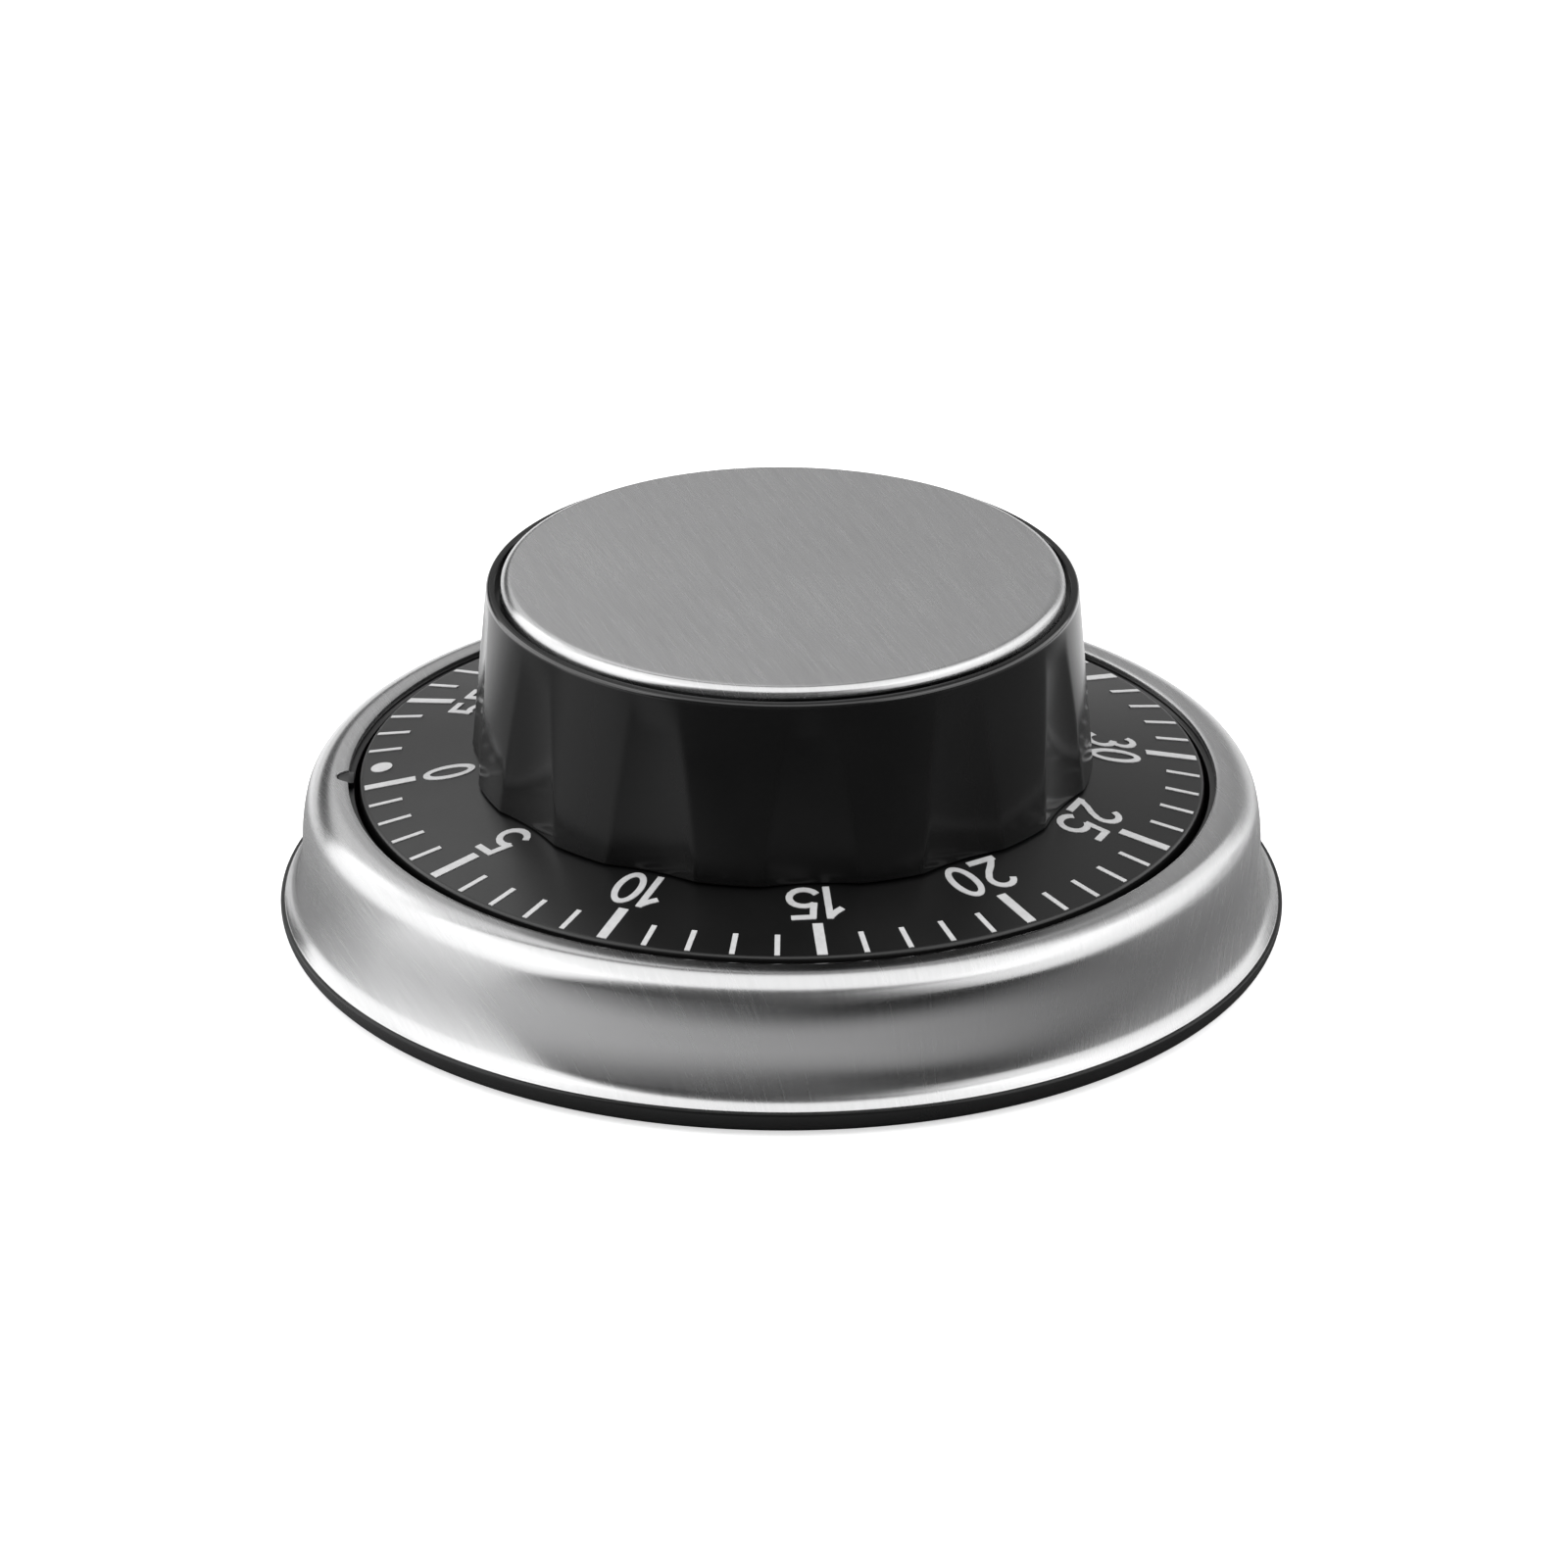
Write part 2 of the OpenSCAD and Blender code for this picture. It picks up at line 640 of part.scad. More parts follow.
module dial_screws() color("silver") around(screw_ring, dial_screw_angles)
    translate([0, 0, seat_low]) rotate([180, 0, 0]) screw(1.6, 0.7, shank_r, dial_screw_len);

module knob_screw() color("silver")
    translate([0, 0, recess_z]) screw(2.2, 0.7, 0.8, 5);

// ---------- turning: main arbor ----------

module arbor_section(play) intersection() {
    circle(r = main_r + play);
    translate([-main_r - 1, -main_r - 1]) square([main_r + 1 + arbor_flat + play, 2 * main_r + 2]);
}

module main_arbor() color("lightgray") difference() {
    union() {
        drum(low_pivot_r, low_plate[0], low_plate[1] + shoulder_gap);
        drum(main_r, low_plate[1] + shoulder_gap, boss_low - 0.1);
        slab(boss_low - 0.1, arbor_top) arbor_section(0);
        drum(main_hub_r, main_wheel_z + main_wheel_t, cam_z);
    }
    drum(knob_tap_r, knob_tap_z, arbor_top + cut);
}

module main_wheel() color("gold")
    wheel(main_teeth, main_m, 0, main_wheel_z, main_wheel_t, main_r, 5);

// Cam with the notch that lets the trip lever drop at zero
module alarm_cam() color("gold") slab(cam_z, cam_z + lever_t) difference() {
    circle(r = cam_r);
    circle(r = main_r);
    at([-cam_r, 0]) rotate(45) square([1.8, 1.8], center = true);
    around(5, [60, 180, 300]) circle(r = 1.2);
}

module spring_hub() color("lightgray") sleeve(hub_r, main_r, cup_z[0] + 0.6, spring_z[1] + 0.2);

// ---------- turning: going train ----------

module second_arbor() color("lightgray") at(second_at)
    arbor(main_leaves, main_m, second_pinion_t, [4.15, 5.4], 5.35, second_wheel_z);

module second_wheel() color("gold") at(second_at)
    wheel(second_teeth, second_m, line_third, second_wheel_z, wheel_t, arbor_r, 5);

module third_arbor() color("lightgray") at(third_at)
    arbor(second_leaves, second_m, third_pinion_t, [5.6, 6.65], 6.6, third_wheel_z);

module third_wheel() color("gold") at(third_at)
    wheel(third_teeth, third_m, line_escape, third_wheel_z, wheel_t, arbor_r, 4);

module escape_arbor() color("lightgray") at(escape_at)
    arbor(third_leaves, third_m, escape_pinion_t, [6.8, 7.95], 7.9, escape_wheel_z);

// Pointed teeth that lean the way the wheel turns
module escape_wheel() color("gold") at(escape_at) slab(escape_wheel_z, escape_wheel_z + wheel_t)
    difference() {
        polygon([for (i = [0:escape_teeth - 1]) let (a = i * 360 / escape_teeth)
            each [polar(escape_r - 1, a), polar(escape_r, a + 6), polar(escape_r, a + 8),
                  polar(escape_r - 1, a + 12)]]);
        circle(r = arbor_r);
        around(2.2, [0, 90, 180, 270]) circle(r = 0.75);
    }

module pallet_arbor() color("lightgray") at(pallet_at) {
    drum(pivot_r, low_plate[0], low_plate[1] + shoulder_gap);
    drum(0.7, low_plate[1] + shoulder_gap, top_plate[0] - shoulder_gap);
    drum(pivot_r, top_plate[0] - shoulder_gap, top_plate[1]);
}

pallet_line = bearing(pallet_at - escape_at);
pins_at = [for (s = [-1, 1]) escape_at + polar(pin_ring, pallet_line + s * pin_spread)];
pallet_z = 9.2;

module pallet_lever() color("lightgray") slab(pallet_z, pallet_z + wheel_t) difference() {
    union() {
        for (p = pins_at) link(pallet_at, p, 1.0);
        link(pallet_at, weight_at, 1.0);
        at(pallet_at) circle(r = 1.5);
    }
    at(pallet_at) circle(r = 0.7);
    for (p = pins_at) at(p) circle(r = pin_r);
    at(weight_at) circle(r = 0.3);
}

module pallet_pins() color("silver") for (p = pins_at)
    at(p) drum(pin_r, escape_wheel_z - 0.1, pallet_z + wheel_t);

module balance_weight() color("gold") at(weight_at) {
    drum(1.7, pallet_z - 0.9, pallet_z);
    drum(0.3, pallet_z - 0.1, pallet_z + wheel_t);
}

// ---------- alarm ----------

module alarm_arbor() color("lightgray") at(alarm_at)
    arbor(second_leaves, second_m, alarm_pinion_t, [5.6, 6.65], 7.8, star_wheel_z);

module star_wheel() color("gold") at(alarm_at) slab(star_wheel_z, star_wheel_z + lever_t)
    difference() {
        polygon([for (i = [0:star_teeth - 1]) let (a = i * 360 / star_teeth)
            each [polar(star_r - 1.6, a - 14), polar(star_r, a - 2), polar(star_r, a + 2),
                  polar(star_r - 1.6, a + 14)]]);
        circle(r = arbor_r);
    }

head_at = hammer_at + head_from_pivot;
tail_at = hammer_at + tail_len * unit(alarm_at - hammer_at);

module hammer_arm() color("lightgray") slab(star_wheel_z, star_wheel_z + lever_t) difference() {
    union() {
        link(hammer_at, head_at, 2.0);
        at(head_at) circle(r = 1.3);
        link(hammer_at, tail_at - 0.5 * unit(alarm_at - hammer_at), 1.0);
        at(hammer_at) circle(r = 2.2);
    }
    at(hammer_at) circle(r = stud_r + pivot_play);
    at(head_at) circle(r = stem_r);
}

module hammer_head() color("gold") at(head_at) {
    drum(stem_r, star_wheel_z, 12.1);
    drum(head_r, 12.0, 15.2);
}

module trip_lever() color("lightgray") slab(cam_z, cam_z + lever_t) difference() {
    union() {
        link(trip_at, nose_at - [0.4, 0], 0.8);
        link(trip_at, trip_end, 1.6);
        at(trip_at) circle(r = 2.2);
    }
    at(trip_at) circle(r = stud_r + pivot_play);
    at(trip_end) circle(r = trip_pin_r);
}

module trip_pin() color("silver") at(trip_end) drum(trip_pin_r, cam_z, cam_z + 2.2);

bezel();
index_ring();
base_housing();
foot_ring();
lower_plate();
upper_plate();
plate_pillars();
plate_screws();
base_screws();
spring_cup();
mainspring();
spring_cover();
bell();
bell_nut();
lever_studs();
lever_clips();
hammer_spring();
trip_spring();
knob();
cap();
dial();
dial_ticks();
dial_numerals();
dial_screws();
knob_screw();
main_arbor();
main_wheel();
alarm_cam();
spring_hub();
second_arbor();
second_wheel();
third_arbor();
third_wheel();
escape_arbor();
escape_wheel();
pallet_arbor();
pallet_lever();
pallet_pins();
balance_weight();
alarm_arbor();
star_wheel();
hammer_arm();
hammer_head();
trip_lever();
trip_pin();
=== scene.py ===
"""A wind-up kitchen timer: spun-steel bezel, fluted black knob, steel cap, printed dial and clockwork."""

import json
from math import cos, exp, hypot, log, pi, radians, sin, sqrt, tan

import bpy
import numpy as np
from mathutils import Matrix, Vector


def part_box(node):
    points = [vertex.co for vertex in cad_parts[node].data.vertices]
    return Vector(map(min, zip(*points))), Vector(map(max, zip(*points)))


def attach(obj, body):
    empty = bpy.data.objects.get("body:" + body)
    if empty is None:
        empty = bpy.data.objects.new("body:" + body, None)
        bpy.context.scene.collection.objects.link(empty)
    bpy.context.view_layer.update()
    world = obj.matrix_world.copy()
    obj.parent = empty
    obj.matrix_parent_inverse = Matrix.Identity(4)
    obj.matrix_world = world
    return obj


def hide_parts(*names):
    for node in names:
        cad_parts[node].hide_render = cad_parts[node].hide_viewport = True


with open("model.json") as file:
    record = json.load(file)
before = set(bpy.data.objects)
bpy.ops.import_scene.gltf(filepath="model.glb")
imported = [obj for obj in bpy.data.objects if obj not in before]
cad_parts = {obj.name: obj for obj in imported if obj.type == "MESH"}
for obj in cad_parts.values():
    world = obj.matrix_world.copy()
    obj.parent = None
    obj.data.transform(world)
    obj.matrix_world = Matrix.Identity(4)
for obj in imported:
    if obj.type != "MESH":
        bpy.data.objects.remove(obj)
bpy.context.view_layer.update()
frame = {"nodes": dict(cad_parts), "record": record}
MM = 0.001

# ---------- sizes, all in millimetres, read from the frame ----------


def corner(node, end, axis):
    """The lowest (end 0) or highest (end 1) place of a CAD node along an axis."""
    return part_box(node)[end][axis] / MM


CASE_R = corner("base_housing", 1, 0)
RIM_LOW = corner("base_housing", 0, 2)
WALL_TOP = corner("base_housing", 1, 2)
BEZEL_TOP = corner("bezel", 1, 2)
BEZEL_LOW = corner("bezel", 0, 2)
LIP_R = corner("bezel", 1, 0)
INDEX_TOP = corner("index_ring", 1, 2)
CAP_R = corner("cap", 1, 0)
CAP_TOP = corner("cap", 1, 2)
CAP_LOW = corner("cap", 0, 2)
KNOB_TOP = corner("knob", 1, 2)
DIAL_R = corner("dial", 1, 0)
FOOT_R = corner("foot_ring", 1, 0)
FOOT_TOP = corner("foot_ring", 1, 2)
MARKS_R = hypot(corner("dial_ticks", 1, 0), corner("dial_ticks", 1, 1)) / sqrt(2)

# These are the CAD part's own sizes too, but no box shows them
SHEET = 0.6  # thickness of the bezel's steel
BORE_R = 34.45  # the hole in the bezel
ZERO_AT = 184.2  # the dial's zero mark at rest, in degrees

CAMERA_SIDE = 1.27  # the camera stands this many degrees round from straight in front
BRUSH_ANGLE = 287.7  # the steel's grain runs this way, seen from above, in degrees

# ---------- mesh tools ----------


def polar(r, a):
    """The point at radius r and angle a in degrees."""
    return Vector((r * cos(radians(a)), r * sin(radians(a))))


def arc(centre, r, a0, a1, n):
    """Points on an arc, from angle a0 to a1 in degrees."""
    return [tuple(Vector(centre) + polar(r, a0 + (a1 - a0) * i / n)) for i in range(n + 1)]


def softened(points, radii, n=5):
    """A run of points with each inner corner rounded to its radius; the ends stay."""
    out = [points[0]]
    for before, here, after, r in zip(points, points[1:], points[2:], radii):
        p = Vector(here)
        a = Vector(before) - p
        b = Vector(after) - p
        reach = min(r / tan(a.angle(b) / 2), a.length * 0.49, b.length * 0.49)
        start = p + a.normalized() * reach
        end = p + b.normalized() * reach
        for i in range(n + 1):
            t = i / n
            out.append(tuple(start * (1 - t) ** 2 + p * 2 * t * (1 - t) + end * t**2))
    return out + [points[-1]]


def along(ring):
    """How far each point of a closed cross-section is along it, starting from the axis."""
    steps = [hypot(p[0] - q[0], p[1] - q[1]) for p, q in zip(ring + [ring[0]], ring[1:] + [ring[0]])]
    return np.cumsum([ring[0][0]] + steps)


def turned(name, section, steps=480, extra=(), across=None):
    """A turned solid. section(angle in degrees) gives the closed cross-section as (radius, height) points.
    With across set, a UV map lays the sheet out flat and turns it so that U runs across the brushing."""
    angles = sorted({round(i * 360 / steps, 4) for i in range(steps)} | {round(a, 4) for a in extra})
    rings = [section(a) for a in angles]
    count = len(angles)
    n = len(rings[0])
    poles = [j for j in range(n) if all(abs(ring[j][0]) < 1e-9 for ring in rings)]
    verts = []
    index = np.zeros((count, n), int)
    for j in poles:
        index[:, j] = len(verts)
        verts.append((0, 0, rings[0][j][1] * MM))
    for i, (a, ring) in enumerate(zip(angles, rings)):
        for j, (r, z) in enumerate(ring):
            if j not in poles:
                index[i, j] = len(verts)
                verts.append((*polar(r * MM, a), z * MM))
    faces = []
    uvs = []
    run = [along(ring) for ring in rings]
    for i in range(count):
        k = (i + 1) % count
        for j in range(n):
            m = (j + 1) % n
            if j in poles and m in poles:
                continue
            face = []
            for at, col, length in ((i, j, j), (k, j, j), (k, m, j + 1), (i, m, j + 1)):
                v = int(index[at, col])
                if v in face:
                    continue
                face.append(v)
                if across is not None:
                    uvs.append(polar(run[at][length] * MM, angles[at] - across))
            faces.append(face)
    mesh = bpy.data.meshes.new(name)
    mesh.from_pydata(verts, [], faces)
    if across is not None:
        layer = mesh.uv_layers.new(name="sheet")
        layer.data.foreach_set("uv", np.array(uvs, np.float32).ravel())
    return finished(name, mesh)


def slab(name, outline, z0, z1, bevel):
    """A flat plate with that outline, and its edges bevelled."""
    n = len(outline)
    verts = [(x * MM, y * MM, z * MM) for z in (z0, z1) for x, y in outline]
    faces = [list(range(n))[::-1], list(range(n, 2 * n))]
    faces += [[i, (i + 1) % n, n + (i + 1) % n, n + i] for i in range(n)]
    mesh = bpy.data.meshes.new(name)
    mesh.from_pydata(verts, [], faces)
    o = finished(name, mesh)
    edges = o.modifiers.new("edges", "BEVEL")
    edges.width = bevel * MM
    edges.segments = 3
    edges.limit_method = "ANGLE"
    return applied(o)


def level_square(name, half, z):
    """A flat square, half of its side from the middle to each edge, in metres."""
    mesh = bpy.data.meshes.new(name)
    corners = [(-half, -half, z), (half, -half, z), (half, half, z), (-half, half, z)]
    mesh.from_pydata(corners, [], [(0, 1, 2, 3)])
    o = bpy.data.objects.new(name, mesh)
    bpy.context.scene.collection.objects.link(o)
    return o


def finished(name, mesh):
    """An object in the scene from a new mesh, with its faces outwards and smooth."""
    mesh.validate()
    mesh.update()
    o = bpy.data.objects.new(name, mesh)
    bpy.context.scene.collection.objects.link(o)
    outward(o)
    smooth(o)
    return o


def outward(o):
    """Turns the faces so that the volume is positive."""
    mesh = o.data
    co = np.zeros(len(mesh.vertices) * 3)
    mesh.vertices.foreach_get("co", co)
    co = co.reshape(-1, 3)
    volume = 0.0
    for p in mesh.polygons:
        v = p.vertices
        for i in range(1, len(v) - 1):
            volume += np.dot(co[v[0]], np.cross(co[v[i]], co[v[i + 1]]))
    if volume < 0:
        mesh.flip_normals()


def smooth(o, angle=32):
    """Smooth shading, with edges sharper than the angle left sharp."""
    mesh = o.data
    mesh.polygons.foreach_set("use_smooth", [True] * len(mesh.polygons))
    mesh.set_sharp_from_angle(angle=radians(angle))


def applied(o):
    """Applies the modifiers of a new piece."""
    depth = bpy.context.evaluated_depsgraph_get()
    mesh = bpy.data.meshes.new_from_object(o.evaluated_get(depth))
    o.modifiers.clear()
    o.data = mesh
    smooth(o)
    return o


def joined(name, pieces):
    """One object from several."""
    with bpy.context.temp_override(active_object=pieces[0], selected_editable_objects=pieces,
                                   selected_objects=pieces):
        bpy.ops.object.join()
    pieces[0].name = name
    pieces[0].data.name = name
    return pieces[0]


# ---------- materials ----------


class Finish:
    """One material: its shader's own values, and the noise that varies them."""

    def __init__(self, name, **values):
        self.material = bpy.data.materials.new(name)
        self.material.use_nodes = True
        self.nodes = self.material.node_tree.nodes
        self.links = self.material.node_tree.links
        self.shader = self.nodes["Principled BSDF"]
        for key, value in values.items():
            self.shader.inputs[key.replace("_", " ")].default_value = value

    def place(self, stretch=(1, 1, 1), sheet=False):
        """Coordinates in metres, stretched: the object's own, or the flat sheet's."""
        mapping = self.nodes.new("ShaderNodeMapping")
        mapping.inputs["Scale"].default_value = stretch
        if sheet:
            source = self.nodes.new("ShaderNodeUVMap")
            source.uv_map = "sheet"
            self.links.new(source.outputs["UV"], mapping.inputs["Vector"])
        else:
            source = self.nodes.new("ShaderNodeTexCoord")
            self.links.new(source.outputs["Object"], mapping.inputs["Vector"])
        return mapping.outputs["Vector"]

    def axes(self, where):
        """X, Y and Z of a place."""
        node = self.nodes.new("ShaderNodeSeparateXYZ")
        self.links.new(where, node.inputs["Vector"])
        return node.outputs

    def noise(self, where, scale, detail=3.0, rough=0.55):
        node = self.nodes.new("ShaderNodeTexNoise")
        node.inputs["Scale"].default_value = scale
        node.inputs["Detail"].default_value = detail
        node.inputs["Roughness"].default_value = rough
        self.links.new(where, node.inputs["Vector"])
        return node.outputs["Fac"]

    def spread(self, value, low, high, start=0.3, end=0.7):
        """Goes from low to high as the value goes from start to end, and stays there."""
        node = self.nodes.new("ShaderNodeMapRange")
        node.inputs["From Min"].default_value = start
        node.inputs["From Max"].default_value = end
        node.inputs["To Min"].default_value = low
        node.inputs["To Max"].default_value = high
        self.links.new(value, node.inputs["Value"])
        return node.outputs["Result"]

    def math(self, kind, a, b):
        """A sum, product or other result of two values, each a number or a socket."""
        node = self.nodes.new("ShaderNodeMath")
        node.operation = kind
        for socket, value in zip(node.inputs, (a, b)):
            if isinstance(value, (int, float)):
                socket.default_value = value
            else:
                self.links.new(value, socket)
        return node.outputs[0]

    def colours(self, value, dark, light, start=0.3, end=0.7):
        """Base colour from dark to light as the value goes from start to end."""
        node = self.nodes.new("ShaderNodeValToRGB")
        for stop, position, colour in zip(node.color_ramp.elements, (start, end), (dark, light)):
            stop.position = position
            stop.color = (*colour, 1)
        self.links.new(value, node.inputs["Fac"])
        self.feed("Base Color", node.outputs["Color"])

    def feed(self, socket, value):
        self.links.new(value, self.shader.inputs[socket])

    def bump(self, height, strength, depth_mm):
        node = self.nodes.new("ShaderNodeBump")
        node.inputs["Strength"].default_value = strength
        node.inputs["Distance"].default_value = depth_mm * MM
        self.links.new(height, node.inputs["Height"])
        self.feed("Normal", node.outputs["Normal"])


def grey(v):
    return (v, v, v * 1.005)


def brushed_sheet(name, level, rough):
    """Pressed from a flat brushed sheet, so the grain follows the sheet over every bend."""
    f = Finish(name, Metallic=1.0, Anisotropic=0.9)
    fine = f.noise(f.place((9000, 260, 1), sheet=True), 1, 3, 0.6)
    coarse = f.noise(f.place((2600, 70, 1), sheet=True), 1, 2, 0.5)
    cloud = f.noise(f.place((60, 60, 1), sheet=True), 1, 2, 0.5)
    both = f.math("ADD", f.math("MULTIPLY", fine, 0.6), f.math("MULTIPLY", coarse, 0.4))
    f.colours(both, grey(level * 0.962), grey(level * 1.038), 0.35, 0.65)
    f.feed("Roughness", f.math("ADD", f.spread(both, rough - 0.02, rough + 0.02, 0.35, 0.65),
                               f.spread(cloud, -0.01, 0.01)))
    f.bump(both, 0.03, 0.008)
    tangent = f.nodes.new("ShaderNodeTangent")
    tangent.direction_type = "UV_MAP"
    tangent.uv_map = "sheet"
    f.feed("Tangent", tangent.outputs["Tangent"])
    return f.material


def moulded(name, level, rough, grain, specular, wear=0.03, polished_edge=None):
    """Moulded or painted black: fine grain in the surface, and a gloss that wanders a little.
    With polished_edge, the rounded edge just under that height shines more: handling has polished it."""
    f = Finish(name, Specular_IOR_Level=specular, Coat_Roughness=0.12)
    where = f.place()
    if polished_edge:
        height = f.axes(where)["Z"]
        above = f.spread(height, 0, 1, (polished_edge - 0.45) * MM, (polished_edge - 0.3) * MM)
        below = f.spread(height, 1, 0, (polished_edge - 0.08) * MM, (polished_edge - 0.02) * MM)
        f.feed("Coat Weight", f.math("MULTIPLY", above, below))
    cloud = f.noise(where, 90, 3, 0.5)
    fine = f.noise(where, 5200, 2, 0.5)
    f.colours(cloud, grey(level * 0.85), grey(level * 1.15))
    f.feed("Roughness", f.math("ADD", f.spread(cloud, rough - wear, rough + wear),
                               f.spread(fine, -0.015, 0.015)))
    f.bump(fine, 0.10 + grain, 0.004 + 0.02 * grain)
    return f.material


def printed(name):
    """White screen print, a little blotchy."""
    f = Finish(name)
    blot = f.noise(f.place(), 1500, 3, 0.6)
    f.colours(blot, grey(0.54), grey(0.62))
    f.feed("Roughness", f.spread(blot, 0.45, 0.6))
    f.bump(blot, 0.1, 0.01)
    return f.material


def worked_metal(name, colour, rough, grain=(400, 6000, 6000), level=0.12):
    """Rolled, turned or plated metal of the movement."""
    f = Finish(name, Metallic=1.0)
    lines = f.noise(f.place(grain), 1, 3, 0.6)
    cloud = f.noise(f.place(), 140, 3, 0.5)
    mixed = f.math("ADD", f.math("MULTIPLY", lines, 0.5), f.math("MULTIPLY", cloud, 0.5))
    dark = tuple(c * (1 - level) for c in colour)
    light = tuple(c * (1 + level) for c in colour)
    f.colours(mixed, dark, light)
    f.feed("Roughness", f.spread(mixed, rough - 0.06, rough + 0.06))
    f.bump(lines, 0.12, 0.01)
    return f.material


# One material for each of the record's material slots
FINISHES = {
    "brushed_steel": brushed_sheet("brushed_steel", 0.52, 0.26),
    "gloss_black": moulded("gloss_black", 0.006, 0.16, 0.0, 0.18, wear=0.02, polished_edge=KNOB_TOP),
    "satin_black": moulded("satin_black", 0.003, 0.32, 0.15, 0.5),
    "moulded_black": moulded("moulded_black", 0.004, 0.30, 0.3, 0.3),
    "rubber_black": moulded("rubber_black", 0.02, 0.75, 0.5, 0.35),
    "white_print": printed("white_print"),
    "brass": worked_metal("brass", (0.72, 0.52, 0.22), 0.28),
    "bright_steel": worked_metal("bright_steel", (0.56, 0.56, 0.56), 0.24, (6000, 6000, 500)),
    "zinc_steel": worked_metal("zinc_steel", (0.50, 0.52, 0.55), 0.34),
    "nickel_steel": worked_metal("nickel_steel", (0.66, 0.64, 0.60), 0.14, (900, 900, 900), 0.05),
    "spring_steel": worked_metal("spring_steel", (0.16, 0.19, 0.27), 0.26, (900, 900, 5000)),
}

for part in frame["record"]["subparts"]:
    o = frame["nodes"][part["node"]]
    o.data.materials.clear()
    o.data.materials.append(FINISHES[part["material_slot"]])


def placed(o, body, slot, *nodes):
    """Gives a new piece its material and the body it rides on, and hides the CAD nodes that it stands for."""
    o.data.materials.clear()
    o.data.materials.append(FINISHES[slot])
    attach(o, body)
    if nodes:
        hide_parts(*nodes)


# ---------- bezel ----------

# From the flat top the line goes round the shoulder, softly into a wall that leans outwards by LEAN degrees,
# softly into a flare, and round the flare to FLARE_END degrees, or FLARE_END_IN on the inside
SHOULDER_R, SOFT_R, FLARE_SOFT_R, FLARE_R = 2.5, 14.0, 13.0, 1.8
SOFT_START, LEAN, FLARE_TURN, FLARE_END, FLARE_END_IN = 12, 2, 17, 52, 40
WALL_LOW = BEZEL_TOP - 5.6
SHOULDER = Vector((35.4, BEZEL_TOP - SHOULDER_R))
SOFT = SHOULDER + polar(SHOULDER_R, SOFT_START) - polar(SOFT_R, SOFT_START)
SOFT_LOW = SOFT + polar(SOFT_R, LEAN)
FLARE_TOP = Vector((SOFT_LOW.x + (SOFT_LOW.y - WALL_LOW) * tan(radians(LEAN)), WALL_LOW))
FLARE_SOFT = FLARE_TOP + polar(FLARE_SOFT_R, LEAN)
FLARE = FLARE_SOFT - polar(FLARE_SOFT_R, FLARE_TURN) + polar(FLARE_R, FLARE_TURN)

# The notch at the pointer, on the left
NOTCH_AT, NOTCH_HALF, NOTCH_DEEP, NOTCH_POWER = 180, 1.04, 0.82, 2.2


def bezel_line(t, end):
    """The bezel's outer line from the flat top to the flared foot, moved inwards by t."""
    return (arc(SHOULDER, SHOULDER_R - t, 90, SOFT_START, 16)
            + arc(SOFT, SOFT_R - t, SOFT_START, LEAN, 6)[1:]
            + arc(FLARE_SOFT, FLARE_SOFT_R + t, LEAN + 180, FLARE_TURN + 180, 10)
            + arc(FLARE, FLARE_R + t, FLARE_TURN + 180, end + 180, 10)[1:])


def notch(angle, grow=0.0):
    """Radius of the notch's rounded outline at that angle, or 0 outside it."""
    half = NOTCH_HALF + grow
    y = abs(BORE_R * sin(radians(angle - NOTCH_AT)))
    if abs(angle - NOTCH_AT) > 20 or y >= half:
        return 0
    return BORE_R + (NOTCH_DEEP + grow) * (1 - (y / half) ** NOTCH_POWER)


def bezel_section(angle):
    edge = max(BORE_R, notch(angle, 0.08))
    top = BEZEL_TOP
    low = BEZEL_TOP - SHEET
    inner = [(edge + 0.1, low), (edge, low + 0.1), (edge, top - 0.14),
             (edge + 0.04, top - 0.05), (edge + 0.13, top)]
    flat = [(edge + 0.13 + (SHOULDER.x - edge - 0.13) * t, top) for t in (0.35, 0.7)]
    back = bezel_line(SHEET, FLARE_END_IN)[::-1]
    foot = [(LIP_R - 0.19, BEZEL_LOW + 0.18), (LIP_R - 0.08, BEZEL_LOW + 0.115),
            (LIP_R - 0.02, BEZEL_LOW + 0.07), (LIP_R, BEZEL_LOW + 0.03), (LIP_R - 0.03, BEZEL_LOW),
            (back[0][0], BEZEL_LOW)]
    return inner + flat + bezel_line(0, FLARE_END) + foot + back


notch_angles = [NOTCH_AT + 0.06 * i for i in range(-44, 45)]
bezel = turned("steel_bezel", bezel_section, extra=notch_angles, across=BRUSH_ANGLE + 90)
placed(bezel, "base", "brushed_steel", "bezel")

# ---------- index ring and pointer ----------

SHELF = BEZEL_TOP - SHEET - 0.02
RING_IN, RING_OUT = 33.95, 36.4
ring_points = [(RING_IN, WALL_TOP + 0.3), (RING_IN, WALL_TOP), (RING_OUT, WALL_TOP),
               (RING_OUT, SHELF - 0.7), (RING_OUT - 1.0, SHELF), (RING_IN, SHELF), (RING_IN, WALL_TOP + 0.3)]
ring_line = softened(ring_points, [0.1, 0.1, 0.2, 0.1, 0.15])[:-1]
ring = turned("ring", lambda angle: ring_line, 360)
pointer_angles = [NOTCH_AT + 0.09 * i for i in range(-22, 23)]
pointer_line = [tuple(polar(notch(a), a)) for a in pointer_angles if notch(a)]
pointer_root = -RING_IN - 0.05
pointer_line = [(pointer_root, pointer_line[0][1])] + pointer_line + [(pointer_root, pointer_line[-1][1])]
pointer = slab("pointer", pointer_line, SHELF - 0.2, INDEX_TOP, 0.07)
placed(joined("index_ring_black", [ring, pointer]), "base", "satin_black", "index_ring")

# ---------- base ----------

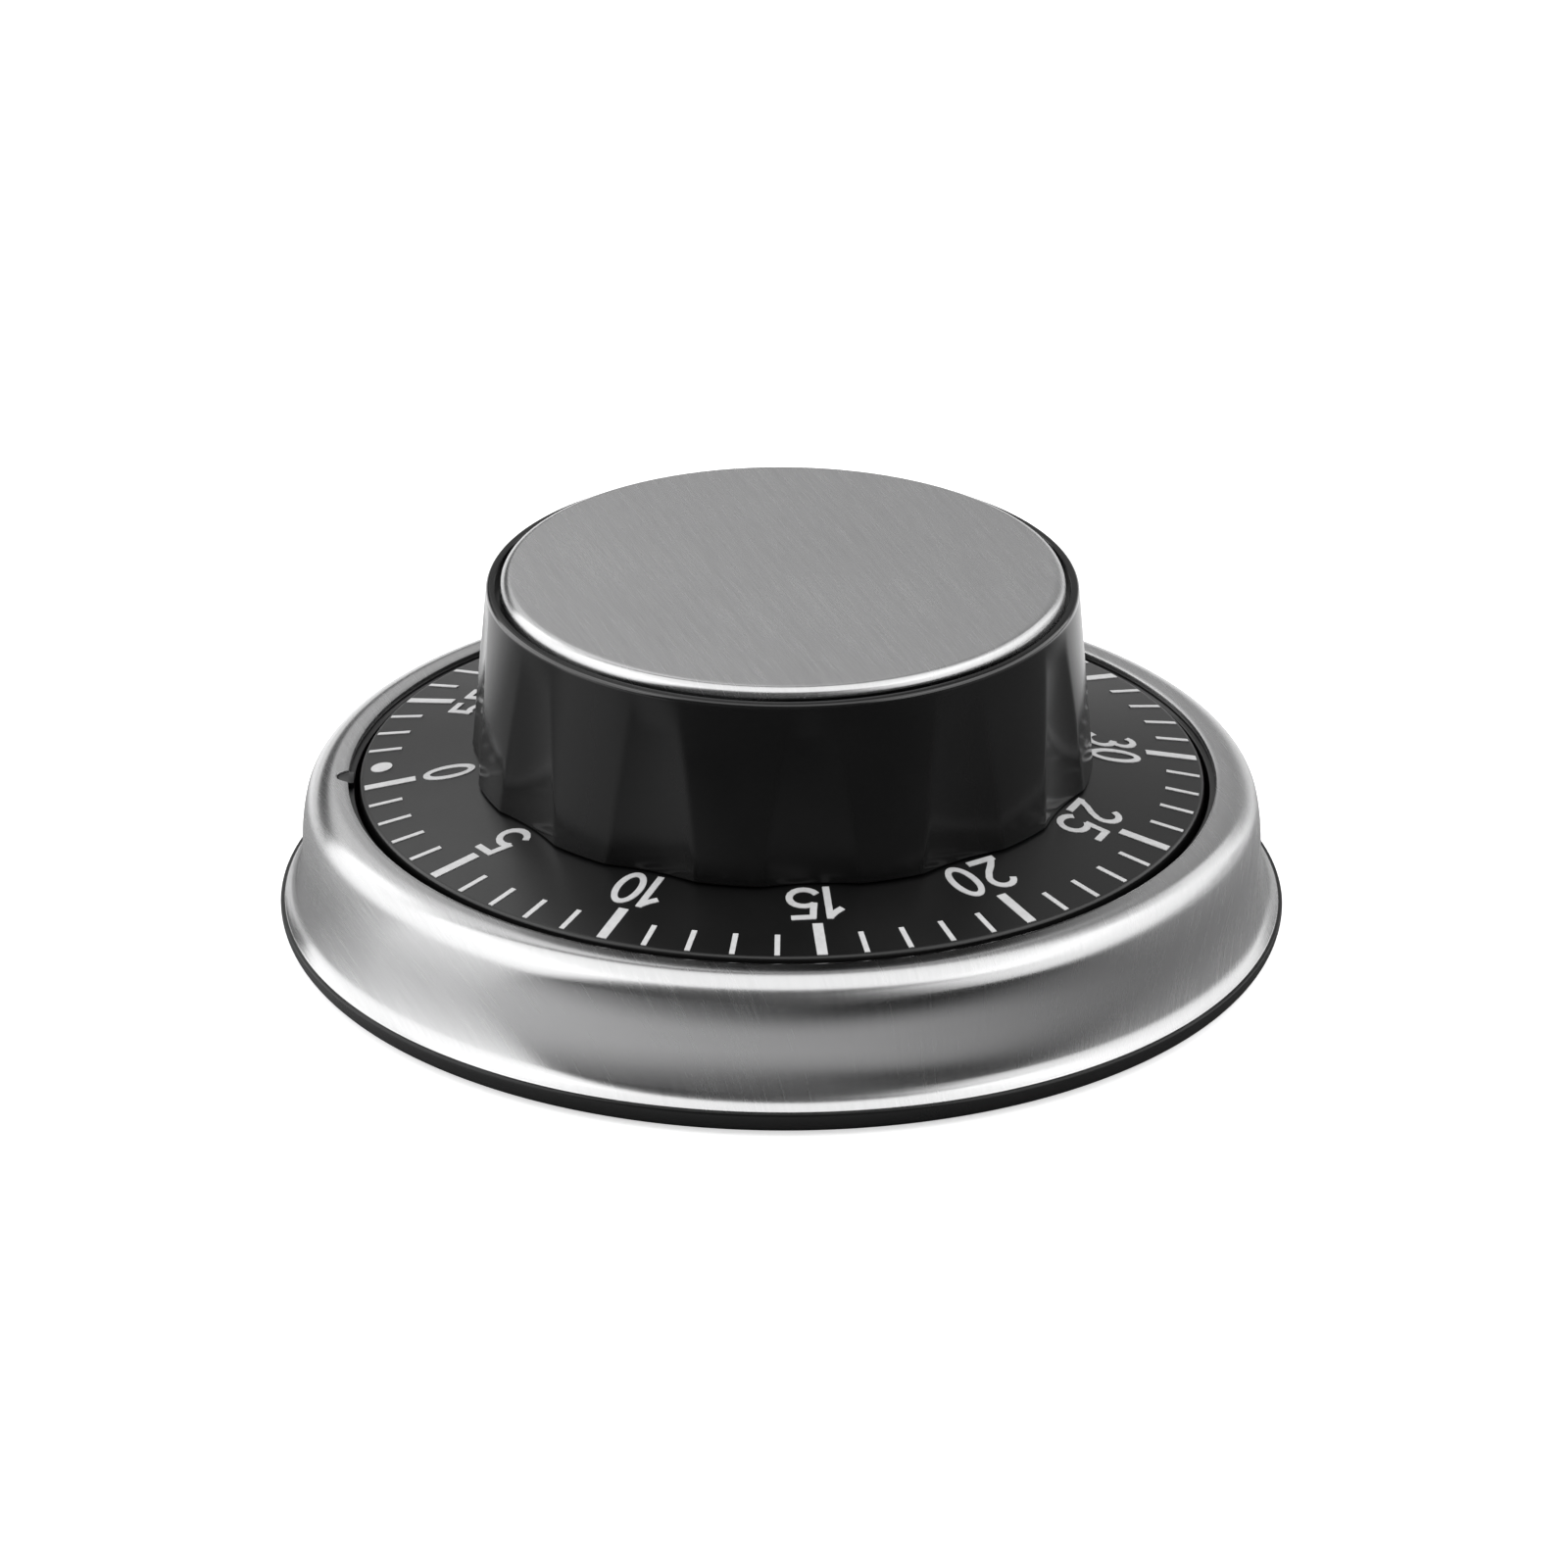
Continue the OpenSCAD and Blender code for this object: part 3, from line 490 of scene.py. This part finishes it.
RIM_ROUND, RIM_WIDE_Z = 1.8, 1.85
FLOOR_LOW, FLOOR_TOP = 0.6, 2.4
base_points = [(0, FLOOR_LOW), (31.3, FLOOR_LOW), (31.3, 1.0), (37.6, 1.0), (37.6, RIM_LOW),
               (38.8, RIM_LOW), (38.98, RIM_LOW + 0.01),
               *arc((CASE_R - RIM_ROUND, RIM_WIDE_Z), RIM_ROUND, -56, 0, 13),
               (CASE_R - 0.02, BEZEL_LOW - 0.1), (CASE_R - 0.09, BEZEL_LOW - 0.02), (CASE_R - 0.2, BEZEL_LOW),
               (36.6, BEZEL_LOW), (36.6, WALL_TOP - 0.2), (36.4, WALL_TOP), (35.2, WALL_TOP),
               (35.0, WALL_TOP - 0.2), (35.0, FLOOR_TOP), (0, FLOOR_TOP)]
base = turned("base_shell", lambda angle: base_points)

# Holes for the base screws: a wide one for the head, and a narrow one right through
SCREW_RING, SCREW_ANGLES = 26.6, (62, 130, 230, 298)
SCREW_HOLES = ((2.4, 0.0, 1.9), (1.1, 1.5, 3.0))
for a in SCREW_ANGLES:
    for r, z0, z1 in SCREW_HOLES:
        tool = turned("tool", lambda angle: [(0, z0), (r, z0), (r, z1), (0, z1)], 48)
        tool.location = (*polar(SCREW_RING * MM, a), 0)
        hole = base.modifiers.new("hole", "BOOLEAN")
        hole.operation = "DIFFERENCE"
        hole.solver = "EXACT"
        hole.object = tool
        bpy.context.view_layer.update()
        applied(base)
        bpy.data.objects.remove(tool)
placed(base, "base", "moulded_black", "base_housing")

# ---------- dial ----------

SLOPE = tan(radians(9.8))
PLATE = 1.2
CONE_IN, SEAT_IN, SEAT_Z, SEAT_LOW = 23.7, 19.2, 13.75, 12.5


def cone(r):
    """Height of the dial's printed cone at that radius."""
    return BEZEL_TOP + (MARKS_R - r) * SLOPE


dial_points = [(SEAT_IN, SEAT_LOW), (SEAT_IN, SEAT_Z), (CONE_IN - 0.05, SEAT_Z), (CONE_IN, cone(CONE_IN)),
               (MARKS_R, cone(MARKS_R)), (DIAL_R - 0.24, cone(DIAL_R - 0.24)),
               (DIAL_R - 0.11, cone(DIAL_R - 0.11) - 0.04), (DIAL_R - 0.03, cone(DIAL_R) - 0.12),
               (DIAL_R, cone(DIAL_R) - 0.26), (DIAL_R, BEZEL_TOP - PLATE), (MARKS_R, cone(MARKS_R) - PLATE),
               (CONE_IN, cone(CONE_IN) - PLATE), (CONE_IN - 0.2, SEAT_LOW)]
placed(turned("dial_plate", lambda angle: dial_points, 360), "dial", "satin_black", "dial")

# ---------- knob ----------

KNOB_R, KNOB_FOOT_R, KNOB_FOOT_Z = 23.4, 24.7, SEAT_Z + 0.13
KNOB_ROUND, FADE = 0.35, 2.4  # rounding of the top edge, and the height over which the flutes end below it
RECESS_R, DECK_LOW = 22.7, 25.9
FLUTE_PITCH = 360 / 12
FLUTE_SPAN, FLUTE_DEPTH, FLUTE_TOP_DEPTH, FLUTE_EDGE = 22.0, 0.63, 0.11, 0.022


def knob_wall(angle, z):
    """Radius of the fluted wall: a cone with scoops that grow shallower upwards."""
    up = (z - KNOB_FOOT_Z) / (KNOB_TOP - 0.5 - KNOB_FOOT_Z)
    round_r = KNOB_FOOT_R + (KNOB_R - KNOB_FOOT_R) * up
    off = (angle - ZERO_AT + FLUTE_PITCH / 2) % FLUTE_PITCH - FLUTE_PITCH / 2
    x = round_r * radians(off)
    deep = FLUTE_DEPTH + (FLUTE_TOP_DEPTH - FLUTE_DEPTH) * up
    scoop = deep - x * x / 2 * (1 / round_r + 1 / FLUTE_SPAN)
    # The scoop where it is positive and 0 elsewhere, with the edge between them softened
    cut = max(scoop, 0) + FLUTE_EDGE * log(1 + exp(-abs(scoop) / FLUTE_EDGE))
    return round_r - cut


def knob_section(angle):
    wall_top = KNOB_TOP - KNOB_ROUND
    low = KNOB_FOOT_Z + 0.18
    rise = [low + (wall_top - FADE - low) * i / 18 for i in range(19)]
    foot = knob_wall(angle, KNOB_FOOT_Z)
    outer = [(foot - 0.1, KNOB_FOOT_Z), (foot - 0.02, KNOB_FOOT_Z + 0.05)]
    outer += [(knob_wall(angle, z), z) for z in rise]
    top = knob_wall(angle, rise[-1])
    outer += [(top + (KNOB_R - top) * i / 8, rise[-1] + FADE * i / 8) for i in range(1, 8)]
    outer += arc((KNOB_R - KNOB_ROUND, wall_top), KNOB_ROUND, 0, 90, 9)
    inner = [(RECESS_R + 0.06, KNOB_TOP), (RECESS_R, KNOB_TOP - 0.06), (RECESS_R, CAP_LOW),
             (0, CAP_LOW), (0, DECK_LOW), (21.5, DECK_LOW), (22.3, KNOB_FOOT_Z)]
    return outer + inner


def post(x, y, r, r_in, z0):
    """A hollow post under the knob's deck."""
    o = turned("post", lambda angle: [(r_in, z0), (r, z0), (r, DECK_LOW + 0.05), (r_in, DECK_LOW + 0.05)], 48)
    o.location = (x * MM, y * MM, 0)
    return o


placed(turned("fluted_knob", knob_section, 720), "dial", "gloss_black", "knob")
posts = [post(*polar(20.9, a), 1.5, 0.95, SEAT_Z) for a in (60, 180, 300)]
posts.append(post(0, 0, 4.6, 2.06, 23.0))
placed(joined("knob_posts", posts), "dial", "gloss_black")

# ---------- cap ----------

CAP_ROUND, CAP_SHEET, CAP_LIP = 0.85, 0.7, 0.5
cap_points = [(0, CAP_TOP), (8, CAP_TOP), (16, CAP_TOP), (20, CAP_TOP), (CAP_R - CAP_ROUND - 0.2, CAP_TOP),
              *arc((CAP_R - CAP_ROUND, CAP_TOP - CAP_ROUND), CAP_ROUND, 90, 0, 12),
              (CAP_R, CAP_LOW + 0.05), (CAP_R - 0.05, CAP_LOW), (CAP_R - CAP_LIP, CAP_LOW),
              (CAP_R - CAP_LIP, CAP_TOP - CAP_SHEET), (0, CAP_TOP - CAP_SHEET)]
cap = turned("steel_cap", lambda angle: cap_points, across=BRUSH_ANGLE + 90)
placed(cap, "dial", "brushed_steel", "cap")

# ---------- rubber ring ----------

FOOT_IN = 31.4
foot_points = [(FOOT_IN, 0.5), (FOOT_IN, 0), (FOOT_R, 0), (FOOT_R, FOOT_TOP), (FOOT_IN, FOOT_TOP),
               (FOOT_IN, 0.5)]
foot_line = softened(foot_points, [0.25, 0.25, 0.1, 0.1])[:-1]
placed(turned("rubber_foot", lambda angle: foot_line, 360), "base", "rubber_black", "foot_ring")

# ---------- floor ----------

# The paper glows a little, so that it is white right up to the timer
floor = level_square("floor", 6.0, 0)
paper = Finish("paper", Roughness=0.9, Specular_IOR_Level=0.0, Emission_Color=(1, 1, 1, 1),
               Emission_Strength=0.6)
paper.colours(paper.noise(paper.place(), 8, 2), grey(0.93), grey(0.94))
floor.data.materials.append(paper.material)

# A grey card just over the floor, seen only in reflections: the table that the metal mirrors, with the light
# and shade on that table painted into its colour. It is painted darker towards the right and towards the
# camera, painted lighter well behind the timer, and has painted shadow close round its foot and to the left of
# it
card = level_square("card", 2.0, 0.0001)
painted_table_light = Finish("painted_table_light", Roughness=0.9, Specular_IOR_Level=0.0)
on_board = painted_table_light.place((1, 1, 0))
board_axes = painted_table_light.axes(on_board)
# Painted light and shade: lighter to the left, darker to the right
painted_side_light = painted_table_light.math("POWER", painted_table_light.spread(board_axes["X"], 0.93, 0.47, -0.06, 0.05), 2)
# Painted shade far towards the camera, and painted light well behind the timer
painted_front_shade = painted_table_light.spread(board_axes["Y"], 0.08, 1.0, -0.092, -0.056)
behind = painted_table_light.spread(board_axes["Y"], 0.0, 0.95, 0.02, 0.05)
from_middle = painted_table_light.nodes.new("ShaderNodeVectorMath")
from_middle.operation = "LENGTH"
painted_table_light.links.new(on_board, from_middle.inputs[0])
# Painted shadow close round the timer's foot
painted_foot_shadow = painted_table_light.spread(from_middle.outputs["Value"], 0.2, 1.0, (CASE_R - 1.5) * MM, (CASE_R + 3) * MM)
# Painted shade on the table to the left of the timer
painted_left_shade = painted_table_light.math("MULTIPLY", painted_table_light.spread(board_axes["Y"], 0.0, 0.55, -0.016, -0.002),
                     painted_table_light.spread(board_axes["X"], 1.0, 0.0, -0.035, 0.0))
painted_side_light = painted_table_light.math("MULTIPLY", painted_side_light, painted_table_light.math("SUBTRACT", 1.0, painted_left_shade))
painted_table_tone = painted_table_light.math("MAXIMUM", painted_table_light.math("MULTIPLY", painted_side_light, painted_front_shade), behind)
painted_table_light.colours(painted_table_light.math("MULTIPLY", painted_table_tone, painted_foot_shadow), grey(0), grey(1), 0, 1)
card.data.materials.append(painted_table_light.material)
card.visible_camera = False
card.visible_diffuse = False
card.visible_shadow = False

# ---------- lights ----------


def panel(name, radiance, size, azimuth, elevation, distance):
    """A soft rectangular light that faces the timer. Its power follows from the radiance wanted.
    The azimuth is counted from the right of the picture: 90 is behind the timer, 270 is at the camera."""
    light = bpy.data.lights.new(name, "AREA")
    light.shape = "RECTANGLE"
    light.size = size[0]
    light.size_y = size[1]
    light.energy = radiance * pi * size[0] * size[1]
    o = bpy.data.objects.new(name, light)
    flat = polar(cos(radians(elevation)), azimuth - CAMERA_SIDE)
    aim = Vector((0, 0, 0.01))
    o.location = aim + distance * Vector((*flat, sin(radians(elevation))))
    o.rotation_euler = (aim - o.location).to_track_quat("-Z", "Y").to_euler()
    o.visible_camera = False
    bpy.context.scene.collection.objects.link(o)


panel("overhead", 1.5, (1.6, 0.95), 270, 82, 0.82)
panel("back", 0.34, (1.1, 1.2), 76, 38, 1.3)
panel("sweep", 1.0, (3.2, 0.26), 90, 5, 1.5)
panel("back_left", 0.9, (0.85, 0.8), 118, 40, 1.3)
panel("left", 1.85, (1.4, 0.85), 178, 24, 0.8)
panel("right", 1.6, (1.7, 0.66), 0, 30, 0.8)

world = bpy.data.worlds.new("studio")
bpy.context.scene.world = world
world.use_nodes = True
sky = world.node_tree.nodes["Background"]
sky.inputs["Color"].default_value = (1, 1, 1, 1)
sky.inputs["Strength"].default_value = 0.08

# ---------- camera ----------

CAMERA_TILT, CAMERA_ROLL = radians(24.81), radians(0.227)
SEEN_AT = Vector((-0.1617, -0.8333, 724.62))  # the middle of the bezel's top, seen from the camera: X, Y, depth
tilt = Matrix(((1, 0, 0), (0, -sin(CAMERA_TILT), -cos(CAMERA_TILT)), (0, cos(CAMERA_TILT), -sin(CAMERA_TILT))))
look = Matrix.Rotation(CAMERA_ROLL, 3, "Z") @ tilt
axes = Matrix.Rotation(radians(-CAMERA_SIDE), 3, "Z") @ look.transposed()
spot = Vector((0, 0, BEZEL_TOP)) - axes @ SEEN_AT
turn = Matrix((axes.col[0], -axes.col[1], -axes.col[2])).transposed()
camera_data = bpy.data.cameras.new("camera")
camera_data.sensor_width = 36
camera_data.lens = 209.25
camera_data.clip_start = 0.05
camera_data.clip_end = 50
camera = bpy.data.objects.new("camera", camera_data)
camera.matrix_world = Matrix.Translation(spot * MM) @ turn.to_4x4()
bpy.context.scene.collection.objects.link(camera)
bpy.context.scene.camera = camera

bpy.context.scene.view_settings.view_transform = "Standard"
